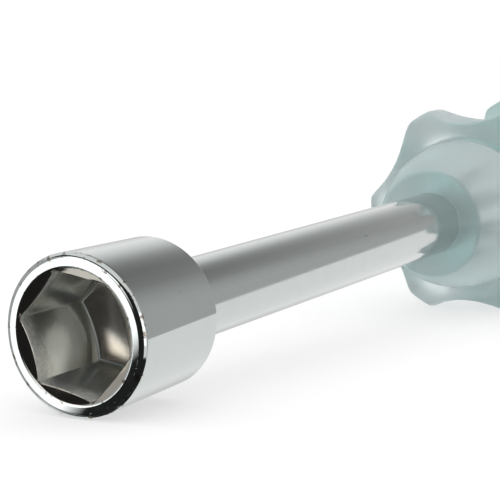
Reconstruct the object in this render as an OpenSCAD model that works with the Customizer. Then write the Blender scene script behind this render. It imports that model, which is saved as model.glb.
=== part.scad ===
// Nut driver: a hex socket head brazed onto the end of a round shank, whose winged tang is moulded
// into a clear fluted handle that ends in a coloured butt cap.
// The tool lies along +X with +Z up. The centre of the socket's mouth is the origin and the butt
// is at the far end. Two of the handle's lobes point down, as they do when the tool lies on a bench.

/* [Socket head] */
// Width across flats of the nut that the socket drives
nut_af = 12.7; // [11:0.1:13.2]
// Depth of the hex from the mouth to its floor
hex_depth = 12.4; // [11:0.1:13.6]
// Outer diameter of the head just behind its rim
socket_d = 18.4; // [17.9:0.1:22]
// Length of the head from the mouth to its rear shoulder
socket_len = 15.6; // [15.2:0.1:20]

/* [Shank] */
// Diameter of the shank
shank_d = 10; // [9.4:0.1:12]
// Distance from the mouth of the socket to the nose of the handle
reach = 98; // [60:0.1:160]
// Length of the tang that is buried in the handle
tang_len = 56; // [48:0.5:70]
// How far each wing of the tang stands out of the shank
wing_rise = 1.6; // [0.8:0.1:2.4]

/* [Handle] */
// Length of the handle from its nose to its butt
handle_len = 106; // [100:0.5:125]
// Diameter over the lobes of the grip
grip_d = 37.6; // [35:0.1:42]
// Number of flutes along the grip
flute_count = 6; // [5:1:8]
// Depth of each flute below the lobes
flute_depth = 3.6; // [2.4:0.1:5]
// Diameter of the waist behind the front flange
waist_d = 25.6; // [24:0.1:28.6]
// Length of the turned nose in front of the flange
nose_len = 14.8; // [12:0.1:18]

/* [Butt cap] */
// Length of the butt cap from its joint line to the butt
cap_len = 18; // [15:0.5:22]

/* [Hidden] */
$fn = 128;

// Overrun of every cut past the face that it opens
overrun = 1;
// Radial and end clearance between pieces that are brazed, moulded or bonded together
seat_gap = 0.05;

// Socket head: the hex, its lead-in, the rim and the draft of the sides
hex_clearance = 0.15;
hex_af = nut_af + hex_clearance;
hex_corner_r = hex_af / 2 / cos(30);
hex_clocking = 42.4;
lead_in_margin = 0.2;
lead_in_r = hex_corner_r + lead_in_margin;
lead_in_angle = 30;
lead_in_depth = lead_in_r * tan(lead_in_angle);
rim_round = 0.7;
rim_r = socket_d / 2;
draft_angle = 1;
rear_chamfer = 0.3;
rear_r = rim_r - socket_len * tan(draft_angle);

// Shank: the end that seats in a recess in the back of the head, and the tail of the tang
floor_thickness = 1.2;
seat_at = hex_depth + floor_thickness;
seat_chamfer = 0.3;
tang_chamfer = 1.5;
shank_end = reach + tang_len;

// Wings swaged out of the tang, and the dents that the swage leaves between them
wing_count = 4;
wing_len = 13;
wing_thickness = 2.4;
wing_bevel = 2;
wing_setback = 16;
wing_start = shank_end - wing_setback - wing_len;
wing_r = shank_d / 2 + wing_rise;
dent_r = 3;
dent_depth = 0.5;

// Handle: the turned nose, the ring groove, the flange with its shoulder, and the waist
grip_r = grip_d / 2;
nose_tip_r = 8.6;
nose_base_r = 12.5;
nose_chamfer = 0.8;
nose_drop = nose_base_r - nose_tip_r;
nose_arc_r = (nose_drop * nose_drop + nose_len * nose_len) / (2 * nose_drop);
ring_groove_r = 0.9;
shoulder_r = 3.6;
flange_len = 8.3;
waist_arc_r = 24;
waist_depth = grip_r - waist_d / 2;
waist_half_len = sqrt(waist_arc_r * waist_arc_r - (waist_arc_r - waist_depth) * (waist_arc_r - waist_depth));
waist_at = nose_len + flange_len + waist_half_len;
cap_joint = handle_len - cap_len;

// Flutes: the scallop that makes each valley, and a flatter one that breaks the edges of the lobes
flute_half_angle_share = 0.37;
flute_half_angle = 360 / flute_count * flute_half_angle_share;
valley_r = grip_r - flute_depth;
flute_at = (grip_r * grip_r - valley_r * valley_r) / (2 * (grip_r * cos(flute_half_angle) - valley_r));
flute_r = flute_at - valley_r;
edge_break_angle_share = 0.03;
edge_break_half_angle = flute_half_angle + 360 / flute_count * edge_break_angle_share;
edge_break_r_share = 3;
edge_break_r = flute_r * edge_break_r_share;
edge_break_half_w = grip_r * sin(edge_break_half_angle);
edge_break_at = grip_r * cos(edge_break_half_angle)
    + sqrt(edge_break_r * edge_break_r - edge_break_half_w * edge_break_half_w);
lobe_clocking = 180 / flute_count;

// Butt cap: the rounded butt, its crown, the joint groove and the plug that centres the cap
butt_round = 7.5;
crown_r = 42;
joint_groove_r = 0.6;
plug_d = 20;
plug_len = 7;

steel_colour = "silver";
acetate_colour = [0.72, 0.84, 0.84, 0.6];
cap_colour = [0.2, 0.62, 0.45, 0.8];

// Lays a piece that was built along +Z down along +X.
module lay_down() {
    rotate([0, 90, 0]) children();
}

// Repeats its children evenly round the axis, the first one at the given angle.
module round_the_axis(count, first = 0) {
    for (i = [0 : count - 1]) rotate(first + i * 360 / count) children();
}

// Half outline of the head: a rounded rim, drafted sides and a chamfered rear shoulder.
module head_outline() {
    rim_centre_r = rim_r - rim_round;
    polygon([
        [0, 0],
        [rim_centre_r, 0],
        [rim_centre_r, rim_round],
        [rim_centre_r + rim_round * cos(draft_angle), rim_round + rim_round * sin(draft_angle)],
        [rear_r + rear_chamfer * tan(draft_angle), socket_len - rear_chamfer],
        [rear_r - rear_chamfer, socket_len],
        [0, socket_len],
    ]);
    translate([rim_centre_r, rim_round]) circle(rim_round);
}

// Socket head: the hex is open at the mouth, and a recess in the rear face takes the shank's end.
module socket_head() {
    color(steel_colour) lay_down() difference() {
        rotate_extrude() head_outline();
        rotate(hex_clocking) translate([0, 0, -overrun])
            cylinder(r = hex_corner_r, h = hex_depth + overrun, $fn = 6);
        cylinder(r1 = lead_in_r, r2 = 0, h = lead_in_depth);
        translate([0, 0, seat_at])
            cylinder(d = shank_d + 2 * seat_gap, h = socket_len - seat_at + overrun);
    }
}

// One wing of the tang as a bevelled plate, grown all round by a clearance.
module wing(grow = 0) {
    rotate([90, 0, 0]) linear_extrude(wing_thickness + 2 * grow, center = true) polygon([
        [0, wing_start - grow],
        [shank_d / 2, wing_start - grow],
        [wing_r + grow, wing_start + wing_bevel - grow],
        [wing_r + grow, wing_start + wing_len - wing_bevel + grow],
        [shank_d / 2, wing_start + wing_len + grow],
        [0, wing_start + wing_len + grow],
    ]);
}

// Half outline of the shank: the seated end, the long straight shank and the chamfered tail.
module shank_outline() {
    shank_r = shank_d / 2;
    polygon([
        [0, seat_at + seat_gap],
        [shank_r - seat_chamfer, seat_at + seat_gap],
        [shank_r, seat_at + seat_gap + seat_chamfer],
        [shank_r, shank_end - tang_chamfer],
        [shank_r - tang_chamfer, shank_end],
        [0, shank_end],
    ]);
}

// Shank: its front end is seated in the head, and its winged tang locks it in the handle.
module shank() {
    color(steel_colour) lay_down() difference() {
        union() {
            rotate_extrude() shank_outline();
            round_the_axis(wing_count) wing();
        }
        round_the_axis(wing_count, 180 / wing_count)
            translate([shank_d / 2 + dent_r - dent_depth, 0, wing_start + wing_len / 2])
                rotate([90, 0, 0]) cylinder(r = dent_r, h = shank_d, center = true);
    }
}

// Half outline of the handle in front of the cap joint, measured from the nose.
module handle_outline() {
    difference() {
        union() {
            intersection() {
                polygon([
                    [0, 0],
                    [nose_tip_r - nose_chamfer, 0],
                    [nose_tip_r + nose_drop, nose_chamfer + nose_drop],
                    [nose_tip_r + nose_drop, nose_len],
                    [0, nose_len],
                ]);
                translate([nose_base_r - nose_arc_r, nose_len]) circle(nose_arc_r);
            }
            translate([0, nose_len]) square([grip_r - shoulder_r, cap_joint - nose_len]);
            translate([0, nose_len + shoulder_r]) square([grip_r, cap_joint - nose_len - shoulder_r]);
            translate([grip_r - shoulder_r, nose_len + shoulder_r]) circle(shoulder_r);
        }
        translate([nose_base_r, nose_len]) circle(ring_groove_r);
        translate([waist_d / 2 + waist_arc_r, waist_at]) circle(waist_arc_r);
        translate([grip_r, cap_joint]) circle(joint_groove_r);
    }
}

// Cutters of the flutes, as long as the whole handle so that they run out on the rounded butt.
module flutes() {
    round_the_axis(flute_count, lobe_clocking + 180 / flute_count) translate([0, 0, -overrun]) {
        translate([flute_at, 0, 0]) cylinder(r = flute_r, h = handle_len + 2 * overrun);
        translate([edge_break_at, 0, 0]) cylinder(r = edge_break_r, h = handle_len + 2 * overrun);
    }
}

// Handle: turned from a fluted bar, with the cavity of the tang and the seat of the cap's plug.
module handle() {
    color(acetate_colour) lay_down() difference() {
        translate([0, 0, reach]) difference() {
            rotate_extrude() handle_outline();
            flutes();
            translate([0, 0, cap_joint - plug_len - seat_gap])
                cylinder(d = plug_d + 2 * seat_gap, h = plug_len + seat_gap + overrun);
        }
        translate([0, 0, reach - overrun])
            cylinder(d = shank_d + 2 * seat_gap, h = tang_len + overrun + seat_gap);
        round_the_axis(wing_count) wing(seat_gap);
    }
}

// Half outline of the cap: a rounded and crowned butt, the joint groove and the plug.
module cap_outline() {
    difference() {
        intersection() {
            union() {
                translate([0, cap_joint]) square([grip_r, cap_len - butt_round]);
                translate([0, cap_joint]) square([grip_r - butt_round, cap_len]);
                translate([grip_r - butt_round, handle_len - butt_round]) circle(butt_round);
            }
            translate([0, handle_len - crown_r]) circle(crown_r);
        }
        translate([grip_r, cap_joint]) circle(joint_groove_r);
    }
    translate([0, cap_joint - plug_len]) square([plug_d / 2, plug_len + overrun]);
}

// Butt cap: bonded to the handle by its plug, with the flutes of the grip running out on it.
module butt_cap() {
    color(cap_colour) lay_down() translate([0, 0, reach]) difference() {
        rotate_extrude() cap_outline();
        flutes();
    }
}

socket_head();
shank();
handle();
butt_cap();
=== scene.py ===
"""Nut driver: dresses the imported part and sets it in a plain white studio.

The tool lies along +X with the mouth of its socket at the origin. Sizes are in millimetres in the
classes below, and become metres when a mesh is made. In the finishes a grain counts features in a
metre, a stretch is a factor along the tool's axis, a range is the part of a noise that matters, and
a bend is in radians per millimetre.
"""

import logging
import math
from collections.abc import Mapping, Sequence
from dataclasses import dataclass, field
from enum import Enum, IntEnum

import bmesh
import bpy
import numpy as np
from mathutils import Matrix, Vector


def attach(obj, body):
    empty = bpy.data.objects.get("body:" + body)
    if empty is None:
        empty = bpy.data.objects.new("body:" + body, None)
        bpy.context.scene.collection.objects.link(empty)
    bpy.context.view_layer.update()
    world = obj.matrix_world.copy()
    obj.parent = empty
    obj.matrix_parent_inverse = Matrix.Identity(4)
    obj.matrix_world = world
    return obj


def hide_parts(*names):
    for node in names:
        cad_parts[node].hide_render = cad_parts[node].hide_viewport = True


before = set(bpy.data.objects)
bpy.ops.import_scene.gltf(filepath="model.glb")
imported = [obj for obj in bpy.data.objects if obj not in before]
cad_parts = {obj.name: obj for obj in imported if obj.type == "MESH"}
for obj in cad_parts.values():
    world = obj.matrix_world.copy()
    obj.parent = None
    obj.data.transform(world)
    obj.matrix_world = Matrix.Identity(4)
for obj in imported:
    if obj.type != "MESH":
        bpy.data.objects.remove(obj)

MM = 0.001
LOG = logging.getLogger("nut_driver")

Socket = bpy.types.NodeSocket
Colour = tuple[float, float, float, float]
Point = tuple[float, float]
Span = tuple[float, float]
Corner = tuple[float, float, float]
Triple = tuple[float, float, float]

WHITE: Colour = (1.0, 1.0, 1.0, 1.0)
WHOLE: Span = (0.0, 1.0)
# The radius of the last ring next to a point of the axis
HUB_R = 1.0
# The largest share of a side that the rounding at its end takes up
ROUND_SHARE = 0.48
# That stretch is at least this many times the margin beside the rounding
MARGIN_PARTS = 10
# The least distance that a bend is measured over
BEND_REACH = 0.02
# Keeps a divisor off zero
TINY = 1e-6
HEX_SIDES = 6
# Degrees from a corner of a hex to the middle of a side
HALF_SIDE = 30.0


class Node(str, Enum):
    """The part's CAD nodes."""

    SOCKET_HEAD = "socket_head"
    SHANK = "shank"
    HANDLE = "handle"
    BUTT_CAP = "butt_cap"


class Slot(str, Enum):
    """The record's material slots."""

    SOCKET_CHROME = "socket_chrome"
    SHANK_CHROME = "shank_chrome"
    CLEAR_ACETATE = "clear_acetate"
    CAP_ACETATE = "cap_acetate"


class HeadZone(IntEnum):
    """The differently finished zones of the socket head."""

    PLATE = 0
    LEAD_IN = 1
    HEX = 2
    HEX_FLOOR = 3


# Outlines and skins


def arc(centre: Point, radius: float, start: float, end: float, steps: int) -> list[Point]:
    """Samples an arc in the plane of the axis.

    Args:
        centre: The arc's centre, as its place along the axis and its radius.
        radius: The arc's own radius.
        start: The first angle, in degrees from the axis towards the outside.
        end: The last angle.
        steps: How many segments the arc has.

    Returns:
        The points, from start to end.
    """
    turns = np.radians(np.linspace(start, end, steps + 1))
    return [(centre[0] + radius * math.cos(t), centre[1] + radius * math.sin(t)) for t in turns]


def rounded(corners: Sequence[Corner], steps: int = 6, margin: float = 0.03) -> list[Point]:
    """Turns a chain of corners into an outline with rounded corners.

    Each rounding gets a point just outside either end, so that smooth shading stays on it.

    Args:
        corners: Each corner's place along the axis, radius and rounding.
        steps: How many segments each rounding has.
        margin: How far outside a rounding the extra points lie.

    Returns:
        The outline's points.
    """
    points: list[Point] = []
    for i, (x, r, size) in enumerate(corners):
        here = Vector((x, r))
        if size <= 0 or i in (0, len(corners) - 1):
            points.append((x, r))
            continue
        back, ahead = Vector(corners[i - 1][:2]) - here, Vector(corners[i + 1][:2]) - here
        room = ROUND_SHARE * min(back.length, ahead.length)
        back.normalize()
        ahead.normalize()
        half = back.angle(ahead) / 2
        reach = min(size / math.tan(half), room)
        centre = here + (back + ahead).normalized() * (reach / math.cos(half))
        first, last = here + back * reach, here + ahead * reach
        points.append(tuple(first + back * min(margin, room / MARGIN_PARTS)))
        a, b = first - centre, last - centre
        whole = a.angle(b)
        for k in range(steps + 1):
            t = k / steps
            mix = a * math.sin((1 - t) * whole) + b * math.sin(t * whole)
            points.append(tuple(centre + mix / math.sin(whole)))
        points.append(tuple(last + ahead * min(margin, room / MARGIN_PARTS)))
    return points


def unrounded(points: Sequence[Point]) -> list[Corner]:
    """Makes points of an outline corners without a rounding.

    Args:
        points: The points.

    Returns:
        The corners.
    """
    return [(x, r, 0.0) for x, r in points]


def even_angles(count: int) -> np.ndarray:
    """Angles spaced evenly round the axis, in radians from +Y towards +Z."""
    return np.arange(count) * (2 * math.pi / count)


class Skin:
    """A closed surface over rings of points round the tool's axis."""

    def __init__(self, name: str, angles: np.ndarray) -> None:
        """Starts an empty skin.

        Args:
            name: The name of the piece that it becomes.
            angles: Where each ring has its points, in radians from +Y towards +Z.
        """
        self.name = name
        self.angles = angles
        self._rows: list[np.ndarray] = []
        self._finishes: list[int] = []

    def pole(self, x: float, finish: int = 0) -> None:
        """Closes or starts the skin at a point of the axis, with a finish from here to the next ring."""
        self._rows.append(np.array([[x, 0.0, 0.0]]))
        self._finishes.append(finish)

    def ring(self, x: float | np.ndarray, radius: float | np.ndarray, finish: int = 0) -> None:
        """Adds a ring.

        Args:
            x: The place along the axis, for the whole ring or for each angle.
            radius: The distance from the axis, likewise.
            finish: The index of the finish from here to the next ring.
        """
        count = len(self.angles)
        along, out = np.broadcast_to(x, count), np.broadcast_to(radius, count)
        self._rows.append(np.stack([along, out * np.cos(self.angles), out * np.sin(self.angles)], axis=1))
        self._finishes.append(finish)

    def _faces(self) -> tuple[list[tuple[int, ...]], list[int]]:
        """Joins the rows.

        Returns:
            The faces between neighbouring rows, and the finish of each.
        """
        count = len(self.angles)
        faces: list[tuple[int, ...]] = []
        finishes: list[int] = []
        base = 0
        for row, nxt, finish in zip(self._rows, self._rows[1:], self._finishes):
            top = base + len(row)
            for i in range(count):
                j = (i + 1) % count
                if len(row) == 1:
                    faces.append((base, top + i, top + j))
                elif len(nxt) == 1:
                    faces.append((base + j, base + i, top))
                else:
                    faces.append((base + i, top + i, top + j, base + j))
                finishes.append(finish)
            base = top
        return faces, finishes

    @staticmethod
    def _sharpness(work: bmesh.types.BMesh) -> list[float]:
        """How tightly the surface bends outwards at each point, in radians per millimetre.

        Args:
            work: The skin's mesh.

        Returns:
            The tightest outward bend at each point, and 0 where it is flat or hollow.
        """
        bends = [0.0] * len(work.verts)
        for edge in work.edges:
            if len(edge.link_faces) != 2:
                continue
            first, second = (face.calc_center_median() for face in edge.link_faces)
            bend = edge.calc_face_angle_signed(0.0) / max((first - second).length / MM, BEND_REACH)
            for vert in edge.verts:
                bends[vert.index] = max(bends[vert.index], bend)
        return bends

    def to_object(self, finishes: Sequence[bpy.types.Material]) -> bpy.types.Object:
        """Makes the skin a smooth closed mesh in the scene.

        Args:
            finishes: The materials that the rings' finish indices stand for.

        Returns:
            The new object.
        """
        faces, chosen = self._faces()
        mesh = bpy.data.meshes.new(self.name)
        mesh.from_pydata((np.concatenate(self._rows) * MM).tolist(), [], faces)
        for material in finishes:
            mesh.materials.append(material)
        mesh.polygons.foreach_set("material_index", chosen)
        work = bmesh.new()
        work.from_mesh(mesh)
        bmesh.ops.recalc_face_normals(work, faces=work.faces)
        sharpness = self._sharpness(work)
        work.to_mesh(mesh)
        work.free()
        layer = mesh.attributes.new("sharpness", "FLOAT", "POINT")
        layer.data.foreach_set("value", sharpness)
        mesh.polygons.foreach_set("use_smooth", [True] * len(mesh.polygons))
        mesh.update()
        made = bpy.data.objects.new(self.name, mesh)
        bpy.context.scene.collection.objects.link(made)
        return made


def seat(piece: bpy.types.Object, node: Node) -> None:
    """Puts a piece in the place of its CAD node.

    Args:
        piece: The finished piece.
        node: The node that it stands for.
    """
    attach(piece, "root")
    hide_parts(node.value)


# Finishes


@dataclass(frozen=True)
class Wear:
    """How the edges of a finish wear.

    Attributes:
        bend: How tight a bend begins to wear, and how tight a bend wears fully.
        grain: How many nicks there are in a metre.
        share: The range of the noise that the nicks begin in.
    """

    bend: Span
    grain: float
    share: Span


class NodeBoard:
    """A material's node tree, with short ways to add and wire nodes."""

    def __init__(self, name: str) -> None:
        """Starts an empty material.

        Args:
            name: The material's name.
        """
        self.material = bpy.data.materials.new(name)
        self.material.use_nodes = True
        self.tree = self.material.node_tree
        self.tree.nodes.clear()
        self.output = self.add("OutputMaterial")

    def add(
        self, kind: str, sockets: Mapping[str, object] | None = None, **settings: object
    ) -> bpy.types.Node:
        """Adds a node.

        Args:
            kind: Blender's name of the node type, after the word ShaderNode.
            sockets: Values for its input sockets, or the output sockets to wire to them.
            **settings: Values for the node's own properties.

        Returns:
            The new node.
        """
        node = self.tree.nodes.new("ShaderNode" + kind)
        for key, value in settings.items():
            setattr(node, key, value)
        for key, value in (sockets or {}).items():
            self.put(node, key, value)
        return node

    def put(self, node: bpy.types.Node, key: str, value: object) -> None:
        """Sets one input socket, or wires an output to it.

        Args:
            node: The node that has the socket.
            key: The socket's name, or its number as text.
            value: A plain value, or an output socket.
        """
        socket = node.inputs[int(key)] if key.isdigit() else node.inputs[key]
        if isinstance(value, Socket):
            self.tree.links.new(value, socket)
        else:
            socket.default_value = value

    def place(self, stretch: float = 1.0) -> Socket:
        """The point on the piece, in metres, with a factor along the tool's axis."""
        point = self.add("TexCoord").outputs["Object"]
        return self.add("Mapping", {"Vector": point, "Scale": (stretch, 1.0, 1.0)}).outputs[0]

    def noise(self, where: Socket, scale: float, detail: float = 2.0) -> Socket:
        """Grey noise from 0 to 1, with so many features in a metre and so many finer layers."""
        node = self.add("TexNoise", {"Vector": where, "Scale": scale, "Detail": detail})
        return node.outputs["Fac"]

    def combine(self, operation: str, first: Socket, second: float | Socket) -> Socket:
        """Works out a number from two, by Blender's name of the operation."""
        return self.add("Math", {"0": first, "1": second}, operation=operation).outputs[0]

    def spread(self, value: Socket, old: Span, new: Span = WHOLE) -> Socket:
        """Maps one range of a value onto another, and holds it there."""
        ends = {"From Min": old[0], "From Max": old[1], "To Min": new[0], "To Max": new[1]}
        return self.add("MapRange", {"Value": value, **ends}).outputs["Result"]

    def blend(self, share: Socket, first: Colour | Socket, second: Colour | Socket) -> Socket:
        """Mixes two colours by the second one's share, in the node's sockets for colours."""
        node = self.add("Mix", {"0": share, "6": first, "7": second}, data_type="RGBA")
        return node.outputs[2]

    def bump(self, height: Socket, depth: float, under: Socket | None = None) -> Socket:
        """Relief too fine for the mesh.

        Args:
            height: The relief, from 0 to 1.
            depth: How deep it is, in millimetres.
            under: The relief that it lies on.

        Returns:
            The surface's direction.
        """
        node = self.add("Bump", {"Height": height, "Distance": depth * MM, "Strength": 1.0})
        if under is not None:
            self.put(node, "Normal", under)
        return node.outputs["Normal"]

    def edge_wear(self, wear: Wear) -> Socket:
        """Where the edges have been rubbed and nicked.

        Args:
            wear: How they wear.

        Returns:
            The wear, from 0 to 1.
        """
        bend = self.add("Attribute", attribute_name="sharpness").outputs["Fac"]
        edge = self.spread(bend, wear.bend)
        nicks = self.spread(self.noise(self.place(), wear.grain, detail=3.0), wear.share)
        return self.combine("MULTIPLY", edge, nicks)

    def mix(self, share: Socket, first: float | Socket, second: float | Socket) -> Socket:
        """Mixes two numbers by the second one's share, in the node's sockets for numbers."""
        return self.add("Mix", {"0": share, "2": first, "3": second}, data_type="FLOAT").outputs[0]

    def finish(self, surface: Socket, volume: Socket | None = None) -> bpy.types.Material:
        """Wires the outputs.

        Args:
            surface: The surface shader.
            volume: The shader of the inside, for a clear material.

        Returns:
            The material.
        """
        self.put(self.output, "Surface", surface)
        if volume is not None:
            self.put(self.output, "Volume", volume)
        return self.material


@dataclass(frozen=True)
class PolishedChrome:
    """Bright chrome plate over buffed steel, with faint lines round the axis and a few pits."""

    name: str
    bright: Colour = (0.588, 0.622, 0.610, 1.0)
    dull: Colour = (0.552, 0.588, 0.574, 1.0)
    pit: Colour = (0.10, 0.10, 0.095, 1.0)
    nick: Colour = (0.23, 0.20, 0.16, 1.0)
    smooth: float = 0.015
    hazy: float = 0.045
    nicked: float = 0.28
    nick_depth: float = 0.004
    lines_per_metre: float = 5200.0
    ripple_depth: float = 0.0010
    line_depth: float = 0.00006
    line_grain: float = 60.0
    ripple_grain: float = 240.0
    haze_grain: float = 420.0
    haze_range: Span = (0.35, 0.7)
    pit_grain: float = 210.0
    pit_size: float = 0.022
    pit_fade: float = 1.6
    pitted_grain: float = 130.0
    pitted_range: Span = (0.60, 0.62)
    wear: Wear = Wear((0.5, 1.3), 1300.0, (0.57, 0.65))

    def build(self) -> bpy.types.Material:
        """Makes the material.

        Returns:
            The finished material.
        """
        board = NodeBoard(self.name)
        plain = board.place()
        buffed = board.place(self.lines_per_metre / self.line_grain)
        lines = board.noise(buffed, self.line_grain, detail=3.0)
        ripple = board.noise(plain, self.ripple_grain, detail=1.0)
        haze = board.noise(plain, self.haze_grain, detail=4.0)
        cells = board.add("TexVoronoi", {"Vector": plain, "Scale": self.pit_grain})
        pit_edge = (self.pit_size, self.pit_size * self.pit_fade)
        spots = board.spread(cells.outputs["Distance"], pit_edge, (1.0, 0.0))
        pitted = board.spread(board.noise(plain, self.pitted_grain, detail=0.0), self.pitted_range)
        pits = board.combine("MULTIPLY", spots, pitted)
        metal = board.blend(haze, self.bright, self.dull)
        gloss = board.spread(haze, self.haze_range, (self.smooth, self.hazy))
        wear = board.edge_wear(self.wear)
        relief = board.bump(lines, self.line_depth, board.bump(ripple, self.ripple_depth))
        sockets = {
            "Base Color": board.blend(wear, board.blend(pits, metal, self.pit), self.nick),
            "Metallic": 1.0,
            "Roughness": board.mix(wear, gloss, self.nicked),
            "Normal": board.bump(wear, self.nick_depth, relief),
        }
        shader = board.add("BsdfPrincipled", sockets)
        return board.finish(shader.outputs[0])


@dataclass(frozen=True)
class BroachedSteel:
    """Thinly plated steel as the punch leaves it: drawn along the axis, and frosted near the mouth."""

    name: str
    clean: Colour = (0.69, 0.715, 0.70, 1.0)
    brown: Colour = (0.61, 0.625, 0.605, 1.0)
    frosted: Colour = (0.92, 0.89, 0.80, 1.0)
    bared: Colour = (0.80, 0.78, 0.74, 1.0)
    smooth: float = 0.11
    rough: float = 0.15
    frost_rough: float = 0.40
    frost_reach: float = 3.6
    metal: float = 0.85
    frost_metal: float = 0.40
    frost_start: float = 4.5
    frost_ragged: float = 9.0
    streak_depth: float = 0.00003
    streak_stretch: float = 0.02
    streak_grain: float = 1500.0
    streak_range: Span = (0.3, 0.7)
    speck_depth: float = 0.0250
    speck_grain: float = 1700.0
    speck_range: Span = (0.38, 0.64)
    stain_grain: float = 170.0
    stain_range: Span = (0.42, 0.68)
    wear: Wear = Wear((1.5, 4.0), 700.0, (0.30, 0.55))

    def build(self) -> bpy.types.Material:
        """Makes the material.

        Returns:
            The finished material.
        """
        board = NodeBoard(self.name)
        plain = board.place()
        streaks = board.noise(board.place(self.streak_stretch), self.streak_grain, detail=3.0)
        grain = board.noise(plain, self.speck_grain, detail=3.0)
        stain = board.noise(plain, self.stain_grain, detail=3.0)
        depth = board.add("SeparateXYZ", {"Vector": plain}).outputs["X"]
        edge = board.combine("ADD", depth, board.combine("MULTIPLY", stain, self.frost_ragged * MM))
        frost_end = self.frost_start + self.frost_reach
        frost = board.spread(edge, (self.frost_start * MM, frost_end * MM), (1.0, 0.0))
        specks = board.combine("MULTIPLY", frost, board.spread(grain, self.speck_range))
        steel = board.blend(board.spread(stain, self.stain_range), self.clean, self.brown)
        streaked = board.spread(streaks, self.streak_range, (self.smooth, self.rough))
        rough = board.mix(frost, streaked, self.frost_rough)
        rubbed = board.edge_wear(self.wear)
        relief = board.bump(specks, self.speck_depth, board.bump(streaks, self.streak_depth))
        sockets = {
            "Base Color": board.blend(rubbed, board.blend(specks, steel, self.frosted), self.bared),
            "Metallic": board.mix(frost, self.metal, self.frost_metal),
            "Roughness": board.mix(rubbed, rough, self.smooth),
            "Normal": relief,
        }
        shader = board.add("BsdfPrincipled", sockets)
        return board.finish(shader.outputs[0])


@dataclass(frozen=True)
class ClearAcetate:
    """Hazed clear plastic, with a tint that deepens with its thickness and drawn lines along the grip.

    Its roughness stands in for the photograph's blur, which the render doesn't have.
    """

    name: str
    skin: Colour = (0.965, 0.998, 1.0, 1.0)
    hazed: Colour = (0.935, 0.978, 0.983, 1.0)
    scuffed: Colour = (0.935, 0.96, 0.962, 1.0)
    scuffed_rough: float = 0.54
    tint: Colour = (0.36, 0.78, 0.84, 1.0)
    density: float = 5.0
    ior: float = 1.40
    clearness: float = 0.86
    smooth: float = 0.36
    hazy: float = 0.46
    line_depth: float = 0.0004
    line_stretch: float = 0.02
    line_grain: float = 900.0
    ripple_depth: float = 0.006
    ripple_grain: float = 90.0
    haze_grain: float = 260.0
    haze_range: Span = (0.35, 0.7)
    wear: Wear = Wear((0.35, 0.9), 500.0, (0.54, 0.70))

    def build(self) -> bpy.types.Material:
        """Makes the material.

        Returns:
            The finished material.
        """
        board = NodeBoard(self.name)
        plain = board.place()
        lines = board.noise(board.place(self.line_stretch), self.line_grain, detail=2.0)
        ripple = board.noise(plain, self.ripple_grain, detail=1.0)
        haze = board.noise(plain, self.haze_grain, detail=4.0)
        relief = board.bump(lines, self.line_depth, board.bump(ripple, self.ripple_depth))
        gloss = board.spread(haze, self.haze_range, (self.smooth, self.hazy))
        wear = board.edge_wear(self.wear)
        sockets = {
            "Base Color": board.blend(wear, board.blend(haze, self.skin, self.hazed), self.scuffed),
            "Roughness": board.mix(wear, gloss, self.scuffed_rough),
            "IOR": self.ior,
            "Transmission Weight": self.clearness,
            "Normal": relief,
        }
        shader = board.add("BsdfPrincipled", sockets)
        inside = board.add("VolumeAbsorption", {"Color": self.tint, "Density": self.density})
        return board.finish(shader.outputs[0], inside.outputs[0])


@dataclass(frozen=True)
class ColouredAcetate:
    """Pale coloured translucent plastic with a faint swirl."""

    name: str
    deep: Colour = (0.52, 0.80, 0.73, 1.0)
    pale: Colour = (0.66, 0.87, 0.82, 1.0)
    scuffed: Colour = (0.74, 0.90, 0.87, 1.0)
    scuffed_rough: float = 0.30
    ior: float = 1.475
    smooth: float = 0.08
    hazy: float = 0.18
    clearness: float = 0.82
    swirl_stretch: float = 0.4
    swirl_grain: float = 120.0
    swirl_range: Span = (0.3, 0.7)
    ripple_depth: float = 0.010
    ripple_grain: float = 110.0
    wear: Wear = Wear((0.25, 0.7), 500.0, (0.45, 0.62))

    def build(self) -> bpy.types.Material:
        """Makes the material.

        Returns:
            The finished material.
        """
        board = NodeBoard(self.name)
        swirl = board.noise(board.place(self.swirl_stretch), self.swirl_grain, detail=4.0)
        ripple = board.noise(board.place(), self.ripple_grain, detail=1.0)
        body = board.blend(board.spread(swirl, self.swirl_range), self.deep, self.pale)
        gloss = board.spread(swirl, self.swirl_range, (self.smooth, self.hazy))
        wear = board.edge_wear(self.wear)
        sockets = {
            "Base Color": board.blend(wear, body, self.scuffed),
            "Roughness": board.mix(wear, gloss, self.scuffed_rough),
            "IOR": self.ior,
            "Transmission Weight": self.clearness,
            "Normal": board.bump(ripple, self.ripple_depth),
        }
        shader = board.add("BsdfPrincipled", sockets)
        return board.finish(shader.outputs[0])


# The tool


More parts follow.
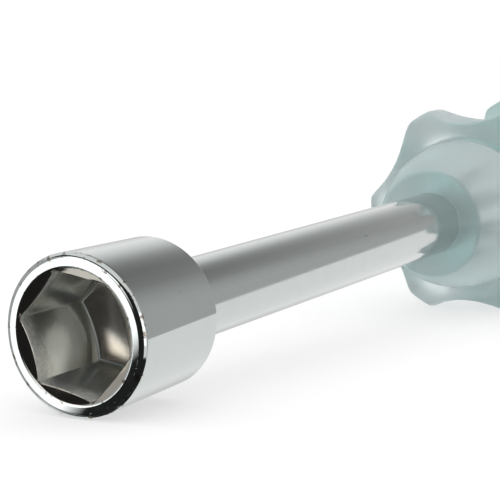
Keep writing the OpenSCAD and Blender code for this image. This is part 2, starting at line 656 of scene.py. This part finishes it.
@dataclass
class SocketHead:
    """The head: a rounded and drafted barrel with a hex hollow in front and a recess behind."""

    across_flats: float = 12.85
    corner_round: float = 0.22
    clocking: float = 12.4
    hex_depth: float = 12.4
    floor_fillet: float = 0.9
    floor_steep: float = 26.0
    lead_in_r: float = 7.618
    lead_in_angle: float = 30.0
    edge_break: float = 0.16
    mouth_r: float = 9.2
    rim_round: float = 0.7
    draft: float = 1.0
    length: float = 15.6
    rear_chamfer: float = 0.3
    seat_r: float = 5.05
    seat_at: float = 13.6
    corner_reach: float = 6.0
    least_round: float = 0.02
    hub_share: float = 0.06
    wall_rings: tuple[float, ...] = (10.4, 9.0, 6.0, 4.0, 2.5)
    break_lead: float = 1.3
    hex_share: float = 0.4
    lead_in_lap: float = 0.30
    zone_lap: float = 0.05
    mouth_depth: float = 2.0
    ring_round: float = 0.9
    rim_gap: float = 0.02
    rim_support: float = 0.04
    side_ring: float = 2.4
    rear_round: float = 0.12
    seat_round: float = 0.08
    plate: PolishedChrome = PolishedChrome("head_chrome")
    lead_in: PolishedChrome = PolishedChrome(
        "lead_in_chrome",
        bright=(0.56, 0.545, 0.50, 1.0),
        dull=(0.46, 0.43, 0.37, 1.0),
        smooth=0.06,
        hazy=0.12,
    )
    steel: BroachedSteel = BroachedSteel("hex_steel")
    floor_steel: BroachedSteel = BroachedSteel(
        "hex_floor_steel",
        clean=(0.76, 0.73, 0.67, 1.0),
        brown=(0.56, 0.50, 0.40, 1.0),
        smooth=0.15,
        rough=0.20,
    )

    def angles(self) -> np.ndarray:
        """Places the points of the rings closest together at the corners of the hex.

        Returns:
            Their angles, in radians from +Y towards +Z.
        """
        flank = np.linspace(-HALF_SIDE, -self.corner_reach, num=12, endpoint=False)
        corner = np.linspace(-self.corner_reach, self.corner_reach, num=17)
        sector = np.concatenate([flank, corner, -flank[:0:-1]])
        turns = [self.clocking + 2 * HALF_SIDE * k + sector for k in range(HEX_SIDES)]
        return np.radians(np.concatenate(turns))

    def hex_radius(self, angles: np.ndarray, inset: float = 0.0) -> np.ndarray:
        """The hex's distance from the axis.

        Args:
            angles: The directions, in radians from +Y towards +Z.
            inset: How far inside the wall it is measured.

        Returns:
            The distance in each direction.
        """
        apothem = self.across_flats / 2 - inset
        size = max(self.corner_round - inset, self.least_round)
        half = math.radians(HALF_SIDE)
        off = np.abs((np.degrees(angles) - self.clocking + HALF_SIDE) % (2 * HALF_SIDE) - HALF_SIDE)
        off = np.radians(off)
        centre = (apothem - size) / math.cos(half)
        limit = math.atan2(size / 2, centre + size * math.cos(half))
        inner = np.maximum(size**2 - (centre * np.sin(off)) ** 2, 0.0)
        on_corner = centre * np.cos(off) + np.sqrt(inner)
        on_flat = apothem / np.cos(half - off)
        return np.where(off < limit, on_corner, on_flat)

    def _hollow(self, skin: Skin) -> None:
        """Adds the hex: its dished floor, walls and softened front edges.

        Args:
            skin: The head's skin.
        """
        angles, zone = skin.angles, HeadZone.HEX
        steep = math.radians(self.floor_steep)
        inset = self.floor_fillet * (1 - math.sin(steep))
        reach = self.across_flats / 2 - inset
        edge = self.hex_depth - self.floor_fillet * (1 - math.cos(steep))
        dish = math.tan(steep) * reach / 3
        skin.pole(edge + dish, HeadZone.HEX_FLOOR)
        for share in np.linspace(self.hub_share, 1.0, num=24):
            radius = share * self.hex_radius(angles, inset)
            bottom = edge + dish * (1 - (radius / reach) ** 3)
            skin.ring(bottom, radius, HeadZone.HEX_FLOOR)
        for turn in np.linspace(steep, math.pi / 2, num=12)[1:]:
            along = bottom - self.floor_fillet * (math.cos(steep) - math.cos(turn))
            skin.ring(along, self.hex_radius(angles, self.floor_fillet * (1 - math.sin(turn))), zone)
        wall = self.hex_radius(angles)
        slope = math.radians(self.lead_in_angle)
        front = (self.lead_in_r - wall) * math.tan(slope)
        for along in self.wall_rings:
            skin.ring(along, wall, zone)
        skin.ring(front + self.edge_break * self.break_lead, wall, zone)
        for t in np.linspace(0, 1, num=6):
            toward_wall, toward_rim = (1 - t) ** 2 * self.edge_break, t**2 * self.edge_break
            along = front + toward_wall - toward_rim * math.sin(slope)
            finish = zone if t < self.hex_share else HeadZone.LEAD_IN
            skin.ring(along, wall + toward_rim * math.cos(slope), finish)

    def outside(self) -> list[Point]:
        """Draws the outline from the lead-in over the rim and back to the recess.

        Returns:
            Its points, as places along the axis and radii.
        """
        slope = math.tan(math.radians(self.lead_in_angle))
        side = math.tan(math.radians(self.draft))
        rim_centre = self.mouth_r - self.rim_round
        rear_r = self.mouth_r - self.length * side
        start = (self.lead_in_lap * slope, self.lead_in_r - self.lead_in_lap, 0.0)
        ring_end = (0.0, rim_centre - self.rim_gap, 0.0)
        face = rounded([start, (0.0, self.lead_in_r, self.ring_round), ring_end])
        turn = arc((self.rim_round, rim_centre), self.rim_round, 180.0, 90.0 - self.draft, steps=24)
        rear = rounded(
            [
                (self.rim_round + self.rim_support, self.mouth_r - self.rim_support * side, 0.0),
                (self.side_ring, self.mouth_r - self.side_ring * side, 0.0),
                (self.length - self.rear_chamfer, rear_r, self.rear_round),
                (self.length, rear_r - self.rear_chamfer, self.rear_round),
                (self.length, self.seat_r, self.seat_round),
                (self.seat_at, self.seat_r, self.seat_round),
                (self.seat_at, HUB_R, 0.0),
            ]
        )
        return face + turn + rear

    def build(self) -> bpy.types.Object:
        """Makes the head.

        Returns:
            The finished piece.
        """
        skin = Skin("socket_head_dressed", self.angles())
        self._hollow(skin)
        for x, r in self.outside():
            in_cone = r < self.lead_in_r - self.zone_lap and x < self.mouth_depth
            skin.ring(x, r, HeadZone.LEAD_IN if in_cone else HeadZone.PLATE)
        skin.pole(self.seat_at)
        finishes = (self.plate, self.lead_in, self.steel, self.floor_steel)
        made = skin.to_object([finish.build() for finish in finishes])
        seat(made, Node.SOCKET_HEAD)
        return made


@dataclass
class Shank:
    """The plain round shank, with the swaged wings of its tang."""

    radius: float = 5.0
    start: float = 13.65
    end: float = 154.0
    front_chamfer: float = 0.3
    tail_chamfer: float = 1.5
    wing_start: float = 125.0
    wing_length: float = 13.0
    wing_bevel: float = 2.0
    wing_thickness: float = 2.4
    wing_r: float = 6.6
    dent_r: float = 3.0
    dent_depth: float = 0.5
    front_round: float = 0.05
    tail_rounds: Span = (0.3, 0.2)
    wing_lead: float = 0.5
    plate: PolishedChrome = PolishedChrome("shank_chrome", smooth=0.07, hazy=0.12)

    def tang_radius(self, x: float, angles: np.ndarray) -> np.ndarray:
        """The tang's distance from the axis where it has its wings.

        Args:
            x: The place along the axis.
            angles: The directions, in radians.

        Returns:
            The distance in each direction.
        """
        quarter = math.pi / 2
        from_wing = np.abs((angles + quarter / 2) % quarter - quarter / 2)
        from_dent = quarter / 2 - from_wing
        along = x - self.wing_start
        rise = min(along, self.wing_length - along) / self.wing_bevel
        tip = self.radius + (self.wing_r - self.radius) * min(max(rise, 0.0), 1.0)
        wing = np.minimum(tip, self.wing_thickness / 2 / np.maximum(np.sin(from_wing), TINY))
        body = np.full_like(angles, self.radius)
        across = abs(along - self.wing_length / 2)
        if across < self.dent_r:
            floor = self.radius + self.dent_r - self.dent_depth - math.sqrt(self.dent_r**2 - across**2)
            body = np.minimum(body, floor / np.cos(from_dent))
        return np.maximum(body, wing)

    def build(self) -> bpy.types.Object:
        """Makes the shank.

        Returns:
            The finished piece.
        """
        skin = Skin("shank_dressed", even_angles(count=288))
        wing_end = self.wing_start + self.wing_length
        front = [
            (self.start, HUB_R, 0.0),
            (self.start, self.radius - self.front_chamfer, self.front_round),
            (self.start + self.front_chamfer, self.radius, self.front_round),
            (self.wing_start - self.wing_lead, self.radius, 0.0),
        ]
        tail = [
            (wing_end + self.wing_lead, self.radius, 0.0),
            (self.end - self.tail_chamfer, self.radius, self.tail_rounds[0]),
            (self.end, self.radius - self.tail_chamfer, self.tail_rounds[1]),
            (self.end, HUB_R, 0.0),
        ]
        skin.pole(self.start)
        for x, r in rounded(front):
            skin.ring(x, r)
        for x in np.linspace(self.wing_start, wing_end, num=53):
            skin.ring(x, self.tang_radius(float(x), skin.angles))
        for x, r in rounded(tail):
            skin.ring(x, r)
        skin.pole(self.end)
        made = skin.to_object([self.plate.build()])
        seat(made, Node.SHANK)
        return made


@dataclass
class Flutes:
    """The scallops along the grip, which shape the handle and its cap alike."""

    count: int = 6
    grip_r: float = 18.8
    depth: float = 3.6
    half_angle: float = 22.2
    softness: float = 1.6
    ring_points: int = 384

    def cut(self, radius: float, angles: np.ndarray) -> np.ndarray:
        """A turned radius after the scallops are cut and their edges polished round.

        Args:
            radius: The turned radius.
            angles: The directions, in radians, with a lobe at 0.

        Returns:
            The distance from the axis in each direction.
        """
        valley = self.grip_r - self.depth
        half = math.radians(self.half_angle)
        centre = (self.grip_r**2 - valley**2) / (2 * (self.grip_r * math.cos(half) - valley))
        size = centre - valley
        pitch = 2 * math.pi / self.count
        off = np.abs(angles % pitch - pitch / 2)
        inner = size**2 - (centre * np.sin(off)) ** 2
        cut_to = centre * np.cos(off) - np.sqrt(np.maximum(inner, 0))
        out_of_reach = self.grip_r + 4 * self.softness
        scallop = np.where(inner > 0, cut_to, out_of_reach)
        share = np.clip(0.5 + 0.5 * (scallop - radius) / self.softness, 0, 1)
        return scallop + (radius - scallop) * share - self.softness * share * (1 - share)


@dataclass
class Handle:
    """The clear handle: a turned nose and waist on a fluted bar.

    Its bore, its joint and the side of its plug seat overlap their neighbours by 0.02, without a film of air.
    """

    nose_at: float = 98.0
    bore_r: float = 4.98
    bore_end: float = 56.0
    nose_tip_r: float = 8.6
    nose_base_r: float = 12.5
    nose_length: float = 14.8
    nose_round: float = 0.9
    groove_r: float = 0.9
    shoulder_r: float = 3.6
    flange_end: float = 23.1
    waist_r: float = 12.8
    waist_arc_r: float = 24.0
    joint: float = 88.02
    joint_groove_r: float = 0.6
    plug_r: float = 9.98
    plug_end: float = 80.98
    nose_stop: float = 91.6
    groove_turn: Span = (182.0, 446.0)
    shoulder_turn: Span = (178.0, 90.0)
    rear_ring: float = 72.0
    bore_round: float = 0.15
    waist_round: float = 0.9
    joint_rounds: Span = (0.25, 0.1)
    plug_round: float = 0.05
    flutes: Flutes = field(default_factory=Flutes)
    acetate: ClearAcetate = ClearAcetate("handle_acetate")

    def outline(self) -> list[Point]:
        """Draws the turned outline, from the bore over the outside to the seat of the cap's plug.

        Returns:
            Its points, as distances from the nose and radii.
        """
        grip = self.flutes.grip_r
        drop = self.nose_base_r - self.nose_tip_r
        nose_arc = (drop**2 + self.nose_length**2) / (2 * drop)
        tip_turn = math.degrees(math.asin(self.nose_length / nose_arc))
        nose_centre = (self.nose_length, self.nose_base_r - nose_arc)
        nose = arc(nose_centre, nose_arc, 90 + tip_turn, self.nose_stop, steps=16)
        depth = grip - self.waist_r
        reach = math.sqrt(self.waist_arc_r**2 - (self.waist_arc_r - depth) ** 2)
        middle = self.flange_end + reach
        sweep = math.degrees(math.asin(reach / self.waist_arc_r))
        waist_centre = (middle, self.waist_r + self.waist_arc_r)
        waist = arc(waist_centre, self.waist_arc_r, 270 - sweep, 270 + sweep, steps=36)
        groove = arc((self.nose_length, self.nose_base_r), self.groove_r, *self.groove_turn, steps=20)
        shoulder_centre = (self.nose_length + self.shoulder_r, grip - self.shoulder_r)
        shoulder = arc(shoulder_centre, self.shoulder_r, *self.shoulder_turn, steps=16)
        body: list[Corner] = [
            (self.bore_end, self.bore_r, 0.0),
            (0.0, self.bore_r, self.bore_round),
            (0.0, self.nose_tip_r, self.nose_round),
            *unrounded(nose[1:] + groove + shoulder),
            (self.flange_end, grip, self.waist_round),
            *unrounded(waist[1:-1]),
            (waist[-1][0], grip, self.waist_round),
            (self.rear_ring, grip, 0.0),
            (self.joint - self.joint_groove_r, grip, self.joint_rounds[0]),
            (self.joint, grip - self.joint_groove_r, self.joint_rounds[1]),
            (self.joint, self.plug_r, self.plug_round),
            (self.plug_end, self.plug_r, self.plug_round),
            (self.plug_end, HUB_R, 0.0),
        ]
        return rounded(body)

    def build(self) -> bpy.types.Object:
        """Makes the handle.

        Returns:
            The finished piece.
        """
        skin = Skin("handle_dressed", even_angles(self.flutes.ring_points))
        skin.pole(self.nose_at + self.bore_end)
        skin.ring(self.nose_at + self.bore_end, HUB_R)
        for x, r in self.outline():
            skin.ring(self.nose_at + x, self.flutes.cut(r, skin.angles))
        skin.pole(self.nose_at + self.plug_end)
        made = skin.to_object([self.acetate.build()])
        seat(made, Node.HANDLE)
        return made


@dataclass
class ButtCap:
    """The coloured cap: a crowned butt with the flutes running out on it, and its plug."""

    nose_at: float = 98.0
    joint: float = 88.0
    end: float = 106.0
    butt_round: float = 7.5
    crown_r: float = 42.0
    joint_groove_r: float = 0.6
    plug_r: float = 10.0
    plug_length: float = 7.0
    plug_rounds: Span = (0.4, 0.1)
    joint_rounds: Span = (0.1, 0.25)
    crown_share: float = 0.94
    crown_stop: float = 2.0
    flutes: Flutes = field(default_factory=Flutes)
    acetate: ColouredAcetate = ColouredAcetate("cap_acetate")

    def outline(self) -> list[Point]:
        """Draws the turned outline, from the plug over the outside to the crown.

        Returns:
            Its points, as distances from the handle's nose and radii.
        """
        grip = self.flutes.grip_r
        crown_centre = self.end - self.crown_r
        reach = self.crown_r - self.butt_round
        side = grip - self.butt_round
        corner = (crown_centre + math.sqrt(reach**2 - side**2), side)
        meet = math.degrees(math.asin(side / reach))
        turn = arc(corner, self.butt_round, 90, meet, steps=18)
        crown_start = meet * self.crown_share
        crown = arc((crown_centre, 0.0), self.crown_r, crown_start, self.crown_stop, steps=12)
        plug_front = self.joint - self.plug_length
        body: list[Corner] = [
            (plug_front, HUB_R, 0.0),
            (plug_front, self.plug_r, self.plug_rounds[0]),
            (self.joint, self.plug_r, self.plug_rounds[1]),
            (self.joint, grip - self.joint_groove_r, self.joint_rounds[0]),
            (self.joint + self.joint_groove_r, grip, self.joint_rounds[1]),
            *unrounded(turn + crown),
        ]
        return rounded(body)

    def build(self) -> bpy.types.Object:
        """Makes the cap.

        Returns:
            The finished piece.
        """
        skin = Skin("butt_cap_dressed", even_angles(self.flutes.ring_points))
        skin.pole(self.nose_at + self.joint - self.plug_length)
        for x, r in self.outline():
            skin.ring(self.nose_at + x, self.flutes.cut(r, skin.angles))
        skin.pole(self.nose_at + self.end)
        made = skin.to_object([self.acetate.build()])
        seat(made, Node.BUTT_CAP)
        return made


# The studio


@dataclass
class PhotoCamera:
    """The camera at the photograph's viewpoint, in the part's frame."""

    position: Triple = (-130.93, -97.395, 32.357)
    right: Triple = (0.4935, -0.8692, -0.0297)
    forward: Triple = (0.8585, 0.4923, -0.1434)
    lens: float = 110.3
    sensor: float = 36.0
    nearest: float = 5.0
    farthest: float = 20000.0

    def build(self) -> None:
        """Makes the camera and gives it to the scene."""
        data = bpy.data.cameras.new("photo_camera")
        data.lens = self.lens
        data.sensor_width = self.sensor
        data.clip_start = self.nearest * MM
        data.clip_end = self.farthest * MM
        camera = bpy.data.objects.new("photo_camera", data)
        right = Vector(self.right).normalized()
        ahead = Vector(self.forward)
        ahead = (ahead - right * ahead.dot(right)).normalized()
        up = right.cross(ahead)
        turn = Matrix((right, up, -ahead)).transposed().to_4x4()
        camera.matrix_world = Matrix.Translation(Vector(self.position) * MM) @ turn
        bpy.context.scene.collection.objects.link(camera)
        bpy.context.scene.camera = camera


@dataclass
class Floor:
    """The white sheet that the tool rests on, touched by the socket's rim and two lobes."""

    rim_contact: Point = (1.0, -9.2)
    lobe_contact: Point = (116.4, -17.17)
    half_width: float = 3000.0
    sheet: Colour = (0.52, 0.52, 0.52, 1.0)
    lift: float = 0.54

    @property
    def slope(self) -> float:
        """How much the floor drops for each step along the tool."""
        return (self.lobe_contact[1] - self.rim_contact[1]) / (self.lobe_contact[0] - self.rim_contact[0])

    def height(self, x: float) -> float:
        """The floor's height at a place along the tool's axis, in millimetres."""
        return self.rim_contact[1] + self.slope * (x - self.rim_contact[0])

    def build(self) -> None:
        """Makes the floor."""
        board = NodeBoard("floor_sheet")
        path = board.add("LightPath")
        seen, seen_through = path.outputs["Is Camera Ray"], path.outputs["Is Transmission Ray"]
        lift = board.combine("MULTIPLY", board.combine("MAXIMUM", seen, seen_through), self.lift)
        paper = board.add("BsdfDiffuse", {"Color": self.sheet})
        glow = board.add("Emission", {"Color": WHITE, "Strength": lift})
        both = board.add("AddShader", {"0": paper.outputs[0], "1": glow.outputs[0]})
        half = self.half_width
        square = ((-half, -half), (half, -half), (half, half), (-half, half))
        corners = [(x, y, self.height(x)) for x, y in square]
        mesh = bpy.data.meshes.new("floor")
        mesh.from_pydata([tuple(c * MM for c in p) for p in corners], [], [(0, 1, 2, 3)])
        mesh.materials.append(board.finish(both.outputs[0]))
        floor = bpy.data.objects.new("floor", mesh)
        floor.visible_glossy = False
        bpy.context.scene.collection.objects.link(floor)


@dataclass
class StudioCard:
    """A card that is seen in reflections alone, with edges that may fade out."""

    name: str
    level: float
    points: np.ndarray
    fade: np.ndarray

    def build(self) -> None:
        """Makes the card from its grid of points and the fade at each."""
        rows, columns = self.fade.shape
        faces = [
            (r * columns + c, r * columns + c + 1, (r + 1) * columns + c + 1, (r + 1) * columns + c)
            for r in range(rows - 1)
            for c in range(columns - 1)
        ]
        mesh = bpy.data.meshes.new(self.name)
        mesh.from_pydata((self.points.reshape(-1, 3) * MM).tolist(), [], faces)
        layer = mesh.attributes.new("fade", "FLOAT", "POINT")
        layer.data.foreach_set("value", self.fade.astype(np.float32).ravel())
        board = NodeBoard(self.name)
        share = board.add("Attribute", attribute_name="fade").outputs["Fac"]
        glow = board.add("Emission", {"Color": WHITE, "Strength": self.level})
        clear = board.add("BsdfTransparent")
        mixed = board.add("MixShader", {"0": share, "1": clear.outputs[0], "2": glow.outputs[0]})
        mesh.materials.append(board.finish(mixed.outputs[0]))
        card = bpy.data.objects.new(self.name, mesh)
        card.visible_camera = False
        card.visible_diffuse = False
        card.visible_transmission = False
        card.visible_shadow = False
        bpy.context.scene.collection.objects.link(card)


@dataclass
class Studio:
    """White surroundings with bright, grey and dark cards, as chrome is photographed.

    Each step of the ceiling's fade is an angle from its middle, in degrees, and what is left of it there.
    """

    floor: Floor = field(default_factory=Floor)
    camera: PhotoCamera = field(default_factory=PhotoCamera)
    bright: float = 1.9
    side: float = 0.52
    shade: float = 0.19
    far: float = 0.66
    dark: float = 0.02
    ceiling_rise: float = 44.6
    ceiling_turn: float = -6.0
    ceiling_away: float = 700.0
    ceiling_fade: tuple[Span, ...] = (
        (0.5, 1.0), (8.0, 1.0), (12.0, 0.92), (16.0, 0.82), (20.0, 0.68),
        (25.0, 0.45), (30.0, 0.25), (36.0, 0.08), (42.0, 0.0),
    )

    def _world(self) -> None:
        """Makes the even white surroundings."""
        world = bpy.data.worlds.new("white_tent")
        world.use_nodes = True
        sheet = world.node_tree.nodes["Background"]
        sheet.inputs["Color"].default_value = WHITE
        sheet.inputs["Strength"].default_value = 1.0
        bpy.context.scene.world = world

    def _patch(
        self, name: str, level: float, turns: Span, rises: Span, away: float, soft: Triple, lean: float = 0.0
    ) -> StudioCard:
        """A card on a dome round the socket, whose edges may fade out.

        Args:
            name: The card's name.
            level: How bright it is.
            turns: Its first and last direction, in degrees from +X towards +Y.
            rises: Its lower and upper edge, in degrees above the horizon.
            away: Its distance.
            soft: Over how many degrees its first side, its last side and its lower and upper edges fade.
            lean: How many degrees its lower edge rises for each degree of its width.

        Returns:
            The card.
        """
        around = np.linspace(turns[0], turns[1], num=73)
        up = np.linspace(0.0, 1.0, num=37)
        turn, share = np.meshgrid(around, up)
        low = rises[0] + lean * (turn - turns[0])
        rise = low + (rises[1] - low) * share
        fade = np.clip((turn - turns[0]) / soft[0], 0, 1) * np.clip((turns[1] - turn) / soft[1], 0, 1)
        fade *= np.clip(np.minimum(rise - low, rises[1] - rise) / soft[2], 0, 1)
        turn, rise = np.radians(turn), np.radians(rise)
        x, y = np.cos(rise) * np.cos(turn), np.cos(rise) * np.sin(turn)
        points = away * np.stack([x, y, np.sin(rise)], axis=2)
        return StudioCard(name, level, points, fade)

    def _ceiling(self) -> StudioCard:
        """Makes a dark disc with a soft edge, overhead and ahead of the tool.

        Returns:
            The disc, as a card.
        """
        rise, turn = math.radians(self.ceiling_rise), math.radians(self.ceiling_turn)
        away = self.ceiling_away
        ahead = Vector((math.cos(rise) * math.cos(turn), math.cos(rise) * math.sin(turn), math.sin(rise)))
        across = ahead.cross(Vector((0, 0, 1))).normalized()
        upward = across.cross(ahead)
        turns = np.radians(np.linspace(0, 360, num=49))
        points, fades = [], []
        for span, left in self.ceiling_fade:
            size = away * math.tan(math.radians(span))
            ring = [ahead * away + across * size * math.cos(t) + upward * size * math.sin(t) for t in turns]
            points.append([tuple(p) for p in ring])
            fades.append([left] * len(turns))
        return StudioCard("ceiling_card", self.shade, np.array(points), np.array(fades))

    def cards(self) -> list[StudioCard]:
        """Lists the cards that the chrome mirrors.

        Returns:
            The cards.
        """
        card = self._patch
        return [
            card("side_card", self.side, (-65.0, 0.0), (3.0, 62.0), 1300.0, (1.0, 18.0, 1.0)),
            card(
                "side_low_card", self.side, (-60.0, -15.0), (-43.8, 12.0), 1290.0, (1.0, 1.0, 1.0), lean=1.2
            ),
            self._ceiling(),
            card("right_lamp_card", self.bright, (245.0, 290.0), (-16.0, 22.0), 1000.0, (2.0, 2.0, 2.0)),
            card("right_below_card", self.dark, (240.0, 318.0), (-66.0, -26.0), 940.0, (2.0, 6.0, 3.0)),
            card("camera_card", self.dark, (153.0, 244.0), (-62.0, 36.0), 900.0, (1.0, 2.0, 2.0)),
            card("lamp_card", self.bright, (138.0, 154.0), (-19.5, 28.0), 1000.0, (2.0, 0.5, 0.5), lean=0.89),
            card("upper_lamp_card", self.bright, (148.0, 183.0), (1.0, 29.0), 890.0, (2.0, 9.0, 9.0)),
            card("over_lamp_card", self.dark, (108.0, 244.0), (26.0, 44.0), 880.0, (8.0, 2.0, 2.0)),
            card("front_below_card", self.dark, (116.0, 246.0), (-64.0, -5.0), 1050.0, (6.0, 2.0, 2.0)),
            card("below_card", self.dark, (0.0, 360.0), (-89.9, -61.0), 920.0, (0.01, 0.01, 3.0)),
            card("left_card", self.side, (45.0, 141.0), (-36.0, 32.0), 1040.0, (25.0, 0.5, 6.0)),
            card("far_card", self.far, (8.0, 66.0), (-38.0, 14.0), 1250.0, (16.0, 16.0, 12.0)),
        ]

    def build(self) -> None:
        """Sets up the camera, the floor, the cards and the light."""
        scene = bpy.context.scene
        scene.view_settings.view_transform = "Standard"
        self.camera.build()
        self.floor.build()
        self._world()
        for card in self.cards():
            card.build()
            LOG.info("%s at level %.2f", card.name, card.level)


def main() -> None:
    """Builds the tool piece by piece, then the studio round it."""
    logging.basicConfig(level=logging.INFO, format="%(name)s: %(message)s")
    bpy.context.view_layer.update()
    for maker in (SocketHead(), Shank(), Handle(), ButtCap()):
        piece = maker.build()
        LOG.info("%s: %d faces", piece.name, len(piece.data.polygons))
    Studio().build()


if __name__ == "__main__":
    main()
